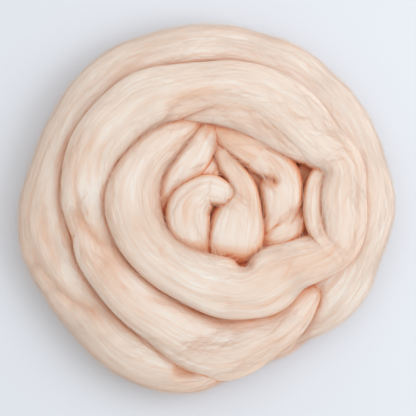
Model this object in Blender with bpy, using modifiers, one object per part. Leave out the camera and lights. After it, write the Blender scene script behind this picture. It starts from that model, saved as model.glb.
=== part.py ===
# Wool roving: one length of combed wool, about 50 g, wound by hand into a loose round coil.
# The coil lies on a table. Its outer turn lies lowest, the next turn leans on it, and the
# middle is a small rosette of short falls and folds. Every turn is a flat, soft band.
# Units in the tables are millimetres, in the coil's own plan: x to the right, y away, z up.
# The part is in metres, with its origin on the table under the middle of the coil.

import math
from collections import namedtuple

import bmesh
import bpy
import numpy as np
from mathutils import Matrix, Vector
from mathutils.geometry import intersect_point_line

MM = 0.001
WOOL_COLOUR = (0.855, 0.686, 0.558, 1.0)
WOOL_ROUGHNESS = 0.9

# Driving sizes, in millimetres.
TURN_SIDES = 40          # corners of a band's oval section
TURN_STEP = 3.0          # distance between sections along a band
OVAL_POWER = 3.0         # 2 is an ellipse, more is a fuller, flatter oval
CREASE_FADE = 0.25       # share of a crease's way over which it fades, at each end
SKIN_GRID = 2.6          # cell of the grid on which the bands merge into one body
SKIN_TRIANGLES = 9600    # triangles left in the merged body
HIDDEN_ROWS_A_TURN = 12
END_SHARES = (0.6, 0.9)  # where a rounded end's sections lie, as shares of its reach
CUTTER_SIZE = 400.0      # the block that cuts the resting face

Row = namedtuple("Row", "x y top width depth bank")
Crease = namedtuple("Crease", "name band depth half_width line")
Spiral = namedtuple("Spiral", "x y outer_radius inner_radius turns top width depth")

# The turns that lie under the ones that show, and the same higher up under the middle.
HIDDEN_TURNS = (
    Spiral(0, 0, 76, 6, 2.6, 27, 38, 28),
    Spiral(10, 8, 24, 6, 1.6, 43, 30, 22),
)

# One row for each place along a band, clockwise as seen from above.
# top is the height of the crest, and bank the degrees by which the outer side leans down.
BANDS = {
    "outer_turn": (
        (65.5, -53.5, 18, 26, 21, 0),
        (40, -70, 29, 36, 31, 8),
        (26, -76.5, 32, 33, 34, 11),
        (12, -83, 34.5, 36, 36, 13),
        (-12.5, -91, 36, 38.5, 38, 12),
        (-34, -87.5, 36, 38, 38, 10),
        (-51, -78.5, 35, 38, 38, 8),
        (-67, -60.5, 32.5, 38, 36, 8),
        (-81, -42, 34, 38, 37, 8),
        (-90.5, -21.5, 34, 38, 37, 8),
        (-92.5, 1, 35.5, 38, 38, 8),
        (-89.5, 23.5, 37, 38, 39, 8),
        (-80, 45.5, 38, 38, 40, 8),
        (-67, 65, 38, 38, 40, 8),
        (-49, 80.5, 38, 38, 40, 8),
        (-32.5, 88, 38, 38, 40, 8),
        (-14, 92, 38, 38, 40, 8),
        (3.5, 93.5, 38, 38, 40, 8),
        (29.5, 89, 37, 38, 39, 8),
        (48, 81, 37, 38, 39, 8),
        (63, 68.5, 35.5, 38, 38, 8),
        (76, 55, 37, 38, 39, 10),
        (84.5, 39.5, 40, 40, 40, 12),
        (88.5, 24.5, 42, 41, 41, 14),
        (91.5, 2, 43, 42, 42, 14),
        (89.5, -14, 42, 42, 41, 14),
        (85, -28, 39.5, 40, 40, 12),
        (77, -43, 36, 38, 38, 10),
        (66, -54, 32.5, 36, 36, 8),
        (51, -62.5, 31.5, 36, 34, 8),
        (32, -72.5, 30, 34, 33, 5),
        (11, -81.5, 26, 28, 30, 0),
    ),
    "under_turn_front": (
        (-67, 6, 34, 24, 18, 0),
        (-66.5, -8, 42.5, 30, 26, 4),
        (-63.5, -22, 44.5, 34, 29, 4),
        (-56, -36, 45, 34, 31, 4),
        (-45, -49.5, 45, 36, 31, 6),
        (-29, -63, 43, 41, 32, 18),
        (-12, -73.5, 40.5, 47, 31, 21),
        (8, -79.5, 39, 48, 31, 22),
        (27, -72, 39, 40, 29, 18),
        (45, -61, 38.5, 31, 26, 10),
        (57, -48, 33, 22, 22, 4),
        (65, -36.5, 22, 14, 14, 0),
    ),
    "fan_fold": (
        (63, -35.5, 22, 16, 14, 0),
        (59.5, -50, 36.5, 17, 24, 0),
        (50.5, -64.5, 36.5, 21, 27, 4),
        (35.5, -76, 34.5, 27, 28, 8),
        (18, -83, 31, 29, 26, 8),
        (2, -86, 25, 22, 20, 8),
    ),
    "main_turn": (
        (-40, -35.5, 18, 20, 16, 0),
        (-53.5, -27.5, 30, 26, 22, 0),
        (-63.5, -16, 41, 31, 26, 5),
        (-68, 2.5, 46, 37, 30, 8),
        (-68.5, 20, 49, 37, 31, 8),
        (-64, 35.5, 50, 37, 31, 8),
        (-52, 51, 51.5, 38, 32, 6),
        (-36, 63, 53, 38, 33, 4),
        (-18.5, 68.5, 54.5, 35, 33, 0),
        (-1, 72, 54.5, 32, 33, 0),
        (15.5, 72.5, 54.5, 32, 33, 0),
        (32, 67.5, 54.5, 32.5, 33, 2),
        (49, 55.5, 54, 34, 33, 6),
        (63.5, 39.5, 53.5, 31, 33, 9),
        (77.5, 24.5, 53, 28, 32, 10),
        (77.5, 6, 52.5, 32, 31, 9),
        (78, -8, 52, 31, 31, 9),
        (75, -20, 51.5, 29, 30, 8),
        (65, -30, 51.5, 35, 30, 5),
        (50.5, -35.5, 50, 39, 30, 3),
        (30, -44, 50, 41, 31, 3),
        (19.5, -47, 50, 37.5, 31, 3),
        (9.5, -46, 50, 39, 31, 3),
        (-11.5, -39, 51.5, 34, 31, 3),
        (-30.5, -25, 53, 33, 31, 3),
        (-42, -8, 54.5, 34, 31, 3),
        (-45, 10, 55.5, 35.5, 31, 3),
        (-37.5, 28, 54.5, 30.5, 30, 3),
        (-23.5, 42, 52, 24.5, 27, 0),
        (-11, 50, 47, 15, 22, 0),
        (-2, 57, 37, 10, 16, 0),
        (9, 60, 27, 8, 12, 0),
    ),
    "inner_back": (
        (-32, 45, 36, 9.5, 14, 0),
        (-23, 53.5, 46, 15.5, 20, -4),
        (-12, 59, 50, 18, 26, -6),
        (0, 60.5, 51.5, 20.5, 28, -8),
        (13, 60, 53, 25, 29, -8),
        (26, 56.5, 53.5, 28, 30, -6),
        (38, 50.5, 53, 30, 30, -3),
        (48.5, 43.5, 52.5, 29.5, 30, 0),
        (58.5, 38, 52, 25, 29, 3),
        (69, 34.5, 50.5, 19, 26, 4),
        (78, 33, 44, 13, 20, 0),
    ),
    "inner_fold": (
        (75.5, 33, 38, 7, 14, 0),
        (68, 26.5, 50, 9, 18, 0),
        (63, 17.5, 53, 11, 20, 0),
        (61, 5.5, 53.5, 12.5, 21, 0),
        (61, -3.5, 53.5, 12.5, 21, 0),
        (63.5, -13, 53.5, 11.5, 20, 0),
        (67, -20, 53, 10, 18, 0),
        (70.5, -25.5, 49.5, 8, 16, 0),
        (72.5, -29.5, 43, 6, 12, 0),
    ),
    "shaded_fold": (
        (-5.5, 57, 34, 11, 14, 0),
        (6, 49, 45, 20.5, 20, 0),
        (17.5, 41.5, 48.5, 26.5, 22, 0),
        (28, 35, 49.5, 26.5, 22, 0),
        (39, 29, 47, 21.5, 20, 0),
        (48.5, 22, 38, 12, 12, 0),
    ),
    "right_lobe": (
        (9, 47.5, 30, 8.5, 12, 0),
        (18, 40, 41, 17, 20, 0),
        (27, 33.5, 48, 23, 24, 0),
        (35.5, 26, 50, 27, 27, 0),
        (41.5, 16, 51, 27.5, 28, 0),
        (43, 6.5, 51.5, 26.5, 28, 0),
        (42, -3, 50, 23, 27, 0),
        (39, -11.5, 45, 19, 22, 0),
        (35.5, -19, 32, 14.5, 14, 0),
    ),
    "lobe_fold": (
        (57.5, 4, 36, 7, 14, 0),
        (54, -3, 45, 13, 18, 0),
        (48.5, -10, 48, 17, 20, 0),
        (41, -16, 47, 18, 20, 0),
        (33, -20.5, 40, 14.5, 18, 0),
        (27, -24.5, 28, 8.5, 12, 0),
    ),
    "cross_fold": (
        (3.5, 59.5, 28, 7, 12, 0),
        (2, 50.5, 42, 13, 18, 0),
        (-2.5, 41, 48.5, 18, 20, 0),
        (-9, 30.5, 50, 23, 22, 0),
        (-16, 20.5, 50, 24.5, 22, 0),
        (-23, 9.5, 48, 23, 21, 0),
        (-27, -1, 44, 17, 20, 0),
        (-30.5, -11, 34, 11, 14, 0),
    ),
    "curl_back": (
        (-20, -4, 36, 11, 16, 0),
        (-15, 5.5, 45, 18, 20, 0),
        (-8.5, 14, 48, 20, 20, 0),
        (-1, 21, 48, 17.5, 18, 0),
        (4, 28, 44, 11, 14, 0),
        (6.5, 34, 36, 6, 10, 0),
    ),
    "centre_fall": (
        (3.5, 44, 38, 8.5, 14, 0),
        (7, 35.5, 46, 12, 18, 0),
        (11, 26.5, 49, 14.5, 22, 0),
        (15.5, 18.5, 50.5, 18, 24, 0),
        (19, 11.5, 51.5, 20, 25, 0),
        (19.5, 4.5, 52, 24.5, 26, 0),
        (18, -3, 52, 32.5, 27, 0),
        (16.5, -11, 51, 36.5, 27, 0),
        (15.5, -18.5, 48.5, 36.5, 25, 0),
        (15.5, -26, 40, 30, 20, 0),
        (17, -33, 30, 18, 14, 0),
    ),
    "centre_curl": (
        (-2.5, -34, 28, 13, 14, 0),
        (-7, -25, 42, 23, 22, 0),
        (-11, -15, 49.5, 26, 26, 0),
        (-12.5, -5.5, 53, 28, 27, 0),
        (-11, 2.5, 54.5, 27, 27, 0),
        (-5.5, 8.5, 54.5, 23.5, 26, 0),
        (0.5, 11.5, 54, 20.5, 24, 0),
        (6, 10.5, 53.5, 17, 21, 0),
        (11.5, 8, 52.5, 13.5, 18, 0),
        (16, 4.5, 50.5, 9, 14, 0),
        (20, 2, 46, 5, 9, 0),
    ),
    "hollow_floor": (
        (65.5, 35.5, 32, 11, 12, 0),
        (60, 22, 40, 18, 16, 0),
        (57.5, 8.5, 42, 18, 16, 0),
        (57, -5.5, 42, 18, 16, 0),
        (59.5, -17.5, 40, 15.5, 16, 0),
        (63, -26, 32, 9.5, 12, 0),
    ),
}

# Soft troughs that part a band into smaller ones: depth and half width in millimetres,
# and the line of the trough in plan.
CREASES = (
    Crease("outer_left", "outer_turn", 2.6, 4, (
        (-111, -3.5), (-103, -33), (-92, -47.5), (-81, -56), (-69.5, -61), (-57, -64))),
    Crease("outer_left_inner", "outer_turn", 1.6, 4, (
        (-101.5, 5.5), (-98, -14), (-93.5, -24.5), (-88, -39.5))),
    Crease("outer_front_right", "outer_turn", 3, 3.5, (
        (65.5, -42.5), (63, -59), (60, -69.5), (51, -83.5))),
    Crease("front_hollow", "outer_turn", 3.5, 5.5, (
        (-22, -96), (-15, -97), (-8, -97))),
    Crease("under_left", "under_turn_front", 2.4, 3.4, (
        (-82, 4), (-76, -9), (-65, -19), (-54.5, -23))),
    Crease("main_left", "main_turn", 2.4, 3.4, (
        (-82, 4), (-76, -9), (-65, -19), (-54.5, -23))),
    Crease("main_front", "main_turn", 1.2, 3.4, (
        (-2.5, -52), (14, -57), (32, -57), (48.5, -50), (62, -42.5))),
    Crease("main_back", "main_turn", 1.4, 3.2, (
        (-26.5, 51.5), (-22, 59.5), (-15, 65), (-0.5, 68), (15.5, 69.5))),
    Crease("lobe_hollow", "right_lobe", 6, 2.4, (
        (22, 18.5), (28, 17), (34, 16.5), (42.5, 16))),
    Crease("lobe_front", "right_lobe", 1.6, 3.2, (
        (54, 2.5), (49, -3.5), (42.5, -9), (34, -14))),
    Crease("fall_left", "centre_fall", 4, 2.2, (
        (4, 20), (8, 15), (11, 11), (14.5, 7))),
)


def clear_scene():
    for thing in list(bpy.data.objects):
        bpy.data.objects.remove(thing, do_unlink=True)


def make_collection(name):
    group = bpy.data.collections.new(name)
    bpy.context.scene.collection.children.link(group)
    return group


def wool_material():
    wool = bpy.data.materials.new("wool")
    wool.use_nodes = True
    shader = wool.node_tree.nodes["Principled BSDF"]
    shader.inputs["Base Color"].default_value = WOOL_COLOUR
    shader.inputs["Roughness"].default_value = WOOL_ROUGHNESS
    shader.inputs["Metallic"].default_value = 0.0
    wool.diffuse_color = WOOL_COLOUR
    return wool


def spiral_rows(spiral):
    """The rows of hidden turns, which wind in from the outer radius to the inner one."""
    count = int(spiral.turns * HIDDEN_ROWS_A_TURN)
    rows = []
    for index in range(count + 1):
        share = index / count
        angle = -2.0 * math.pi * spiral.turns * share
        radius = spiral.outer_radius + (spiral.inner_radius - spiral.outer_radius) * share
        rows.append(Row(spiral.x + radius * math.cos(angle), spiral.y + radius * math.sin(angle),
                        spiral.top, spiral.width, spiral.depth, 0.0))
    return rows


def smooth_rows(rows):
    """Sections every TURN_STEP along a smooth curve through the rows, as one array."""
    table = np.array(rows, dtype=float)
    spans = np.linalg.norm(np.diff(table[:, :2], axis=0), axis=1)
    length = np.concatenate([[0.0], np.cumsum(spans)])
    slope = np.gradient(table, length, axis=0)
    sections = []
    for index in range(len(table) - 1):
        span = spans[index]
        steps = max(2, round(span / TURN_STEP))
        for step in range(steps):
            t = step / steps
            sections.append((2 * t**3 - 3 * t**2 + 1) * table[index]
                            + (t**3 - 2 * t**2 + t) * span * slope[index]
                            + (3 * t**2 - 2 * t**3) * table[index + 1]
                            + (t**3 - t**2) * span * slope[index + 1])
    sections.append(table[-1])
    return np.array(sections)


def oval(angle, half_width, half_depth):
    """A point of a full oval: its place across the band, and up from the band's middle."""
    power = 2.0 / OVAL_POWER
    across = math.copysign(half_width, math.cos(angle)) * abs(math.cos(angle)) ** power
    up = math.copysign(half_depth, math.sin(angle)) * abs(math.sin(angle)) ** power
    return across, up


def crease_depth(point, creases):
    """How far the creases press the skin in at a point of the plan. They fade at both ends."""
    deepest = 0.0
    for crease in creases:
        spans = len(crease.line) - 1
        for index in range(spans):
            start = Vector(crease.line[index])
            end = Vector(crease.line[index + 1])
            share = intersect_point_line(point.to_2d(), start, end)[1]
            share = min(max(share, 0.0), 1.0)
            apart = (point.to_2d() - start.lerp(end, share)).length / crease.half_width
            place = (index + share) / spans
            fade = min(1.0, place / CREASE_FADE, (1.0 - place) / CREASE_FADE)
            deepest = max(deepest, fade * crease.depth * math.exp(-apart**2))
    return deepest


def add_ring(bm, middle, side, up, width, depth, creases):
    """One oval section of a band, with the creases pressed into its upper half."""
    ring = []
    for corner in range(TURN_SIDES):
        angle = 2.0 * math.pi * corner / TURN_SIDES
        across, height = oval(angle, 0.5 * width, 0.5 * depth)
        point = middle + side * across + up * height
        if height > 0.0:
            point = point + (middle - point).normalized() * crease_depth(point, creases)
        ring.append(bm.verts.new(point * MM))
    return ring


def add_band(bm, rows, creases=()):
    """Loft one band: an oval that changes along its way, with rounded ends."""
    sections = smooth_rows(rows)
    middles = sections[:, :3].copy()
    middles[:, 2] -= 0.5 * sections[:, 4]
    ways = np.gradient(middles, axis=0)
    rings = []
    last = len(sections) - 1
    for index, (middle, way, section) in enumerate(zip(middles, ways, sections)):
        middle = Vector(middle)
        way = Vector(way).normalized()
        flat = Vector((0.0, 0.0, 1.0)).cross(way).normalized()
        bank = Matrix.Rotation(-math.radians(section[5]), 3, way)
        side = bank @ flat
        up = way.cross(side)
        width, depth = section[3], section[4]
        reach = 0.5 * min(width, depth)
        shares = [0.0]
        if index == 0:
            shares = [-share for share in reversed(END_SHARES)] + shares
        if index == last:
            shares = shares + list(END_SHARES)
        for share in shares:
            place = middle + way * reach * share
            scale = math.sqrt(1.0 - share**2)
            rings.append(add_ring(bm, place, side, up, width * scale, depth * scale, creases))
    for first, second in zip(rings, rings[1:]):
        for corner in range(TURN_SIDES):
            following = (corner + 1) % TURN_SIDES
            bm.faces.new((first[corner], first[following], second[following], second[corner]))
    bm.faces.new(rings[0][::-1])
    bm.faces.new(rings[-1])


def loft_bands(group):
    """All bands in one mesh, still overlapping."""
    bm = bmesh.new()
    for spiral in HIDDEN_TURNS:
        add_band(bm, spiral_rows(spiral))
    for name, rows in BANDS.items():
        creases = [crease for crease in CREASES if crease.band == name]
        add_band(bm, [Row(*row) for row in rows], creases)
    bmesh.ops.recalc_face_normals(bm, faces=bm.faces)
    mesh = bpy.data.meshes.new("roving_coil")
    bm.to_mesh(mesh)
    bm.free()
    coil = bpy.data.objects.new("roving_coil", mesh)
    group.objects.link(coil)
    return coil


def apply_modifiers(thing):
    """Put the evaluated mesh in the object and drop its modifiers."""
    bpy.context.view_layer.update()
    evaluated = thing.evaluated_get(bpy.context.evaluated_depsgraph_get())
    mesh = bpy.data.meshes.new_from_object(evaluated)
    thing.modifiers.clear()
    old = thing.data
    thing.data = mesh
    bpy.data.meshes.remove(old)
    mesh.name = thing.name


def keep_outer_skin(mesh):
    """Drop the skins of closed hollows between the bands: wool fills them."""
    bm = bmesh.new()
    bm.from_mesh(mesh)
    left = set(bm.verts)
    skins = []
    while left:
        seed = left.pop()
        skin = {seed}
        front = [seed]
        while front:
            for edge in front.pop().link_edges:
                for vert in edge.verts:
                    if vert not in skin:
                        skin.add(vert)
                        front.append(vert)
        left -= skin
        skins.append(skin)
    skins.sort(key=len)
    inner = [vert for skin in skins[:-1] for vert in skin]
    bmesh.ops.delete(bm, geom=inner, context="VERTS")
    bm.to_mesh(mesh)
    bm.free()


def merge_bands(coil):
    """Make the overlapping bands one body with soft creases between them."""
    remesh = coil.modifiers.new("merge", "REMESH")
    remesh.mode = "VOXEL"
    remesh.voxel_size = SKIN_GRID * MM
    remesh.adaptivity = 0.0
    apply_modifiers(coil)
    keep_outer_skin(coil.data)
    decimate = coil.modifiers.new("lighten", "DECIMATE")
    decimate.ratio = SKIN_TRIANGLES / (2.0 * len(coil.data.polygons))
    decimate.use_collapse_triangulate = True
    apply_modifiers(coil)


def centre_on_origin(mesh):
    corners = np.empty(len(mesh.vertices) * 3)
    mesh.vertices.foreach_get("co", corners)
    corners = corners.reshape(-1, 3)
    middle = 0.5 * (corners.min(axis=0) + corners.max(axis=0))
    mesh.transform(Matrix.Translation((-middle[0], -middle[1], 0.0)))


def cut_resting_face(coil, group):
    """The lowest turns are pressed flat where they lie on the table."""
    below = (0.0, 0.0, -0.5 * CUTTER_SIZE * MM)
    bpy.ops.mesh.primitive_cube_add(size=CUTTER_SIZE * MM, location=below)
    block = bpy.context.object
    block.name = "table_cutter"
    block.hide_render = True
    block.display_type = "WIRE"
    for collection in list(block.users_collection):
        collection.objects.unlink(block)
    group.objects.link(block)
    cut = coil.modifiers.new("resting_face", "BOOLEAN")
    cut.operation = "DIFFERENCE"
    cut.solver = "EXACT"
    cut.object = block


def build():
    clear_scene()
    parts = make_collection("wool_roving")
    cutters = make_collection("cutters")
    coil = loft_bands(parts)
    merge_bands(coil)
    centre_on_origin(coil.data)
    coil.data.shade_smooth()
    coil.data.materials.clear()
    coil.data.materials.append(wool_material())
    cut_resting_face(coil, cutters)


build()
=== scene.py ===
# Wool roving: one length of combed merino wool, about 50 g, wound by hand into a loose coil.
# The coil's bands get their strands and creases here, then the fine locks that lie on them,
# the loose fuzz, and the finish of the wool. The bands' and fibres' tables are in millimetres and
# degrees, and the studio is in metres where it doesn't say otherwise.

import bmesh
import bpy
import numpy as np
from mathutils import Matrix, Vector
from mathutils.bvhtree import BVHTree


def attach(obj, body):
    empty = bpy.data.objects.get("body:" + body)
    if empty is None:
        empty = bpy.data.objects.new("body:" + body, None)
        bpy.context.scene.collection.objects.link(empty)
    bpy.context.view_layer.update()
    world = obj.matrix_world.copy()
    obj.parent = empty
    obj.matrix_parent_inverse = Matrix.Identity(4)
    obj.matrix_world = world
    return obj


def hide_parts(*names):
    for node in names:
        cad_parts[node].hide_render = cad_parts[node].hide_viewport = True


mm = 0.001
scene = bpy.context.scene

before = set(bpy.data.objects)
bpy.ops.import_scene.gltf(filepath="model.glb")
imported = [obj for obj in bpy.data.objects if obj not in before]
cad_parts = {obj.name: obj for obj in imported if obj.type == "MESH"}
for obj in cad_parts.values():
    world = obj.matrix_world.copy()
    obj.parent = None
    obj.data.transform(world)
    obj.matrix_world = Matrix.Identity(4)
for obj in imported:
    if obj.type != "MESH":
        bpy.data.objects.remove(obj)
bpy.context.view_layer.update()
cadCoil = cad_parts["roving_coil"]

coil = {
    "ovalPower": 3.5,         # 2 is an ellipse, more is a fuller, flatter oval
    "sectionStep": 1.0,       # spacing of the sections that a band is read from
    "plainStep": 4,           # every fourth section will do to find the nearest one
    "gridStep": 2.0,          # length of a band's faces
    "endSteps": 7,            # rows of faces in a rounded end
    "endLean": 0.06,          # how far the skin's direction leans out at an end
    "topShare": 0.35,         # how much closer the faces are on top than underneath
    "creaseFade": 0.22,       # share of a crease's way over which it fades, at each end
    "creaseShape": 1.4,       # more makes a crease's sides steeper
    "creaseShadeDepth": 2.5,        # a crease this deep gets as much painted shade as a whole valley
    "creaseSide": (-0.15, 0.3),    # creases fade out in this part of a band's height
    "skinReach": 7.0,         # wool deeper inside the coil than this never shows
    "bakeMargin": 0.004,
    "middle": (0.24, 1.23),   # the middle of the coil in the tables' plan, the part's origin
}

# The waves of a band's skin: the length of one along the band, how many fit round it, and a seed.
grain = {
    "swell": (32, 3, 1),      # the band grows wider and narrower
    "swellShare": 0.05,
    "drift": (80, 5, 2),      # its strands stray sideways
    "driftShare": 0.7,
    "strand": (130, 1, 3),    # one for each strand: they part and join
    "strength": (55, 4, 4),   # the valleys between them come and go
    "strengthRange": (-0.7, 0.9),
    "valleyShape": 5,         # more makes a valley narrower
    "fine": (70, 3, 5),       # three for each strand
    "fineShare": 0.2,
    "lump": (24, 6, 6),       # soft lumps all over
    "lumpHeight": 0.45,
    "tableRows": 96,          # the noise repeats after this many waves
}


def srgb(hexText):
    # A hex colour as the linear values that shaders want.
    channels = [int(hexText[place:place + 2], 16) / 255 for place in (0, 2, 4)]
    return [c / 12.92 if c <= 0.04045 else ((c + 0.055) / 1.055) ** 2.4 for c in channels] + [1.0]


# The output that each kind of node is used for.
results = {
    "Attribute": "Fac", "Bump": "Normal", "MapRange": "Result", "Mapping": "Vector", "Math": "Value",
    "Mix": 2, "TexCoord": "Object", "TexNoise": "Fac", "UVMap": "UV", "ValToRGB": "Color",
}


def addNode(tree, kind, inputs, **settings):
    # One node: its own settings, then each input as a value or as a link. It gives its output.
    node = tree.nodes.new("ShaderNode" + kind)
    for name, value in settings.items():
        setattr(node, name, value)
    for name, value in inputs.items():
        if isinstance(value, bpy.types.NodeSocket):
            tree.links.new(value, node.inputs[name])
        else:
            node.inputs[name].default_value = value
    return node.outputs[results[kind]]


def smoothStep(value, low, high):
    share = np.clip((value - low) / (high - low), 0.0, 1.0)
    return share * share * (3 - 2 * share)


def unit(vectors):
    return vectors / np.linalg.norm(vectors, axis=-1)[..., None]


def blend(table, row, nextRow, column, nextColumn, rowShare, columnShare):
    # Values between the four nearest places of a table.
    near = table[row, column] * (1 - columnShare) + table[row, nextColumn] * columnShare
    far = table[nextRow, column] * (1 - columnShare) + table[nextRow, nextColumn] * columnShare
    return near * (1 - rowShare) + far * rowShare


def softNoise(along, around, cells, seed):
    # Smooth noise from -1 to 1. It repeats after the given cells, so it closes round a band.
    rows = grain["tableRows"]
    table = np.random.default_rng(seed).uniform(-1, 1, (rows, cells))
    row = np.floor(along).astype(int)
    cell = np.floor(around).astype(int)
    return blend(table, row % rows, (row + 1) % rows, cell % cells, (cell + 1) % cells,
                 smoothStep(along - row, 0, 1), smoothStep(around - cell, 0, 1))


def bandWaves(band, kind, along, around, times=1):
    # One kind of the waves in the table above, at places along a band and round it.
    length, count, seed = grain[kind]
    return softNoise(along / length, around * count, count * times, band["seed"] + seed)


def readBand(band):
    # Sections on a smooth curve through the band's rows, each with its own three directions.
    table = np.array(band["rows"], float)
    spans = np.linalg.norm(np.diff(table[:, :2], axis=0), axis=1)
    knots = np.concatenate([[0.0], np.cumsum(spans)])
    slope = np.gradient(table, knots, axis=0)
    along = np.linspace(0.0, knots[-1], int(knots[-1] / coil["sectionStep"]) + 1)
    index = np.clip(np.searchsorted(knots, along, side="right") - 1, 0, len(spans) - 1)
    span = spans[index][:, None]
    t = ((along - knots[index]) / spans[index])[:, None]
    sections = (2 * t**3 - 3 * t**2 + 1) * table[index]
    sections += (t**3 - 2 * t**2 + t) * span * slope[index]
    sections += (3 * t**2 - 2 * t**3) * table[index + 1]
    sections += (t**3 - t**2) * span * slope[index + 1]
    middle = sections[:, :3].copy()
    middle[:, 2] -= 0.5 * sections[:, 4]
    way = unit(np.gradient(middle, along, axis=0))
    flat = unit(np.cross((0.0, 0.0, 1.0), way))
    bank = np.radians(-sections[:, 5])[:, None]
    side = flat * np.cos(bank) + np.cross(way, flat) * np.sin(bank)
    band["length"] = knots[-1]
    band["along"] = along
    band["table"] = np.hstack([middle, way, side, np.cross(way, side), sections[:, 3:5]])
    band["girth"] = np.pi * 0.5 * (sections[:, 3] + sections[:, 4]).mean()
    band["endReach"] = 0.5 * np.minimum(sections[[0, -1], 3], sections[[0, -1], 4])


def creaseDepth(plan, creases):
    # How far the creases press the skin in at places of the plan.
    deepest = np.zeros(plan.shape[:-1])
    for depth, halfWidth, line in creases:
        spans = len(line) - 1
        for index in range(spans):
            start = np.array(line[index])
            run = np.array(line[index + 1]) - start
            share = np.clip(((plan - start) @ run) / (run @ run), 0, 1)
            apart = np.linalg.norm(plan - start - share[..., None] * run, axis=-1) / halfWidth
            place = (index + share) / spans
            fade = np.clip(np.minimum(place, 1 - place) / coil["creaseFade"], 0, 1)
            deepest = np.maximum(deepest, fade * depth * np.exp(-apart**coil["creaseShape"]))
    return deepest


def readGrid(band, along, turn):
    # How far the band gives way to its neighbours at places between the grid's points.
    rowAt = np.interp(along, band["rowAlong"], np.arange(len(band["rowAlong"])))
    columnAt = np.interp(turn, band["columnTurn"], np.arange(len(band["columnTurn"])))
    row = np.minimum(rowAt.astype(int), len(band["rowAlong"]) - 2)
    column = np.minimum(columnAt.astype(int), len(band["columnTurn"]) - 2)
    return blend(band["tuck"], row, row + 1, column, column + 1, rowAt - row, columnAt - column)


def bandSkin(band, along, turn):
    # The skin at places along the band, in mm, and round it, in turns from its underside.
    # Gives the points and the directions out of the band there.
    length = band["length"]
    held = np.clip(along, 0.0, length)
    cells = [np.interp(held, band["along"], column) for column in band["table"].T]
    middle, way, side, up = (np.stack(cells[k:k + 3], axis=-1) for k in (0, 3, 6, 9))
    width, depth = cells[12], cells[13]
    beyond = np.where(along < 0, -along / band["endReach"][0], 0)
    beyond = np.where(along > length, (along - length) / band["endReach"][1], beyond)
    endScale = np.sqrt(np.clip(1 - beyond**2, 0, 1))
    angle = 2 * np.pi * turn - 0.5 * np.pi
    cosine, sine = np.cos(angle), np.sin(angle)
    oval = np.where(cosine > 0, band.get("outerPower", coil["ovalPower"]), coil["ovalPower"])
    power = 2 / oval
    acrossShare = np.sign(cosine) * np.abs(cosine) ** power
    upShare = np.sign(sine) * np.abs(sine) ** power
    swell = 1 + grain["swellShare"] * bandWaves(band, "swell", along, turn)
    across = 0.5 * width * endScale * swell * acrossShare
    height = 0.5 * depth * endScale * upShare
    middle = middle + way * (along - held)[..., None]
    offset = side * across[..., None] + up * height[..., None]
    point = middle + offset
    bend = oval - 1
    outAcross = np.sign(cosine) * np.abs(acrossShare) ** bend / np.maximum(width, 1e-6)
    outUp = np.sign(sine) * np.abs(upShare) ** bend / np.maximum(depth, 1e-6)
    normal = side * outAcross[..., None] + up * outUp[..., None]
    normal = unit(normal + way * (np.sign(along - held) * beyond * coil["endLean"])[..., None])
    # Rounded strands with soft valleys between them, winding slowly round the band.
    strands = band["strands"]
    wound = (turn + band.get("twist", 0) / 360 * along / 100) * strands
    drift = grain["driftShare"] * bandWaves(band, "drift", along, turn)
    crossing = bandWaves(band, "strand", along, wound + drift, strands)
    strength = smoothStep(bandWaves(band, "strength", along, turn), *grain["strengthRange"])
    valley = strength * (1 - np.abs(crossing)) ** grain["valleyShape"]
    fine = bandWaves(band, "fine", along, wound + 2 / 3 * drift, strands)
    inwards = band["relief"] * (valley + grain["fineShare"] * fine)
    inwards += grain["lumpHeight"] * bandWaves(band, "lump", along, turn)
    upper = smoothStep(upShare, *coil["creaseSide"])
    pressed = creaseDepth(point[..., :2], band.get("creases", ())) * upper
    # From here the valley value is only a mask for the painted shade in valleys and creases.
    valley = np.maximum(valley, np.minimum(pressed / coil["creaseShadeDepth"], 1))
    if "tuck" in band:
        pressed = pressed + readGrid(band, along, turn)
    inside = np.linalg.norm(offset, axis=-1)[..., None]
    point = point - offset / np.maximum(inside, 1e-6) * pressed[..., None]
    point = point - normal * (inwards * endScale)[..., None]
    return point, normal, valley


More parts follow.
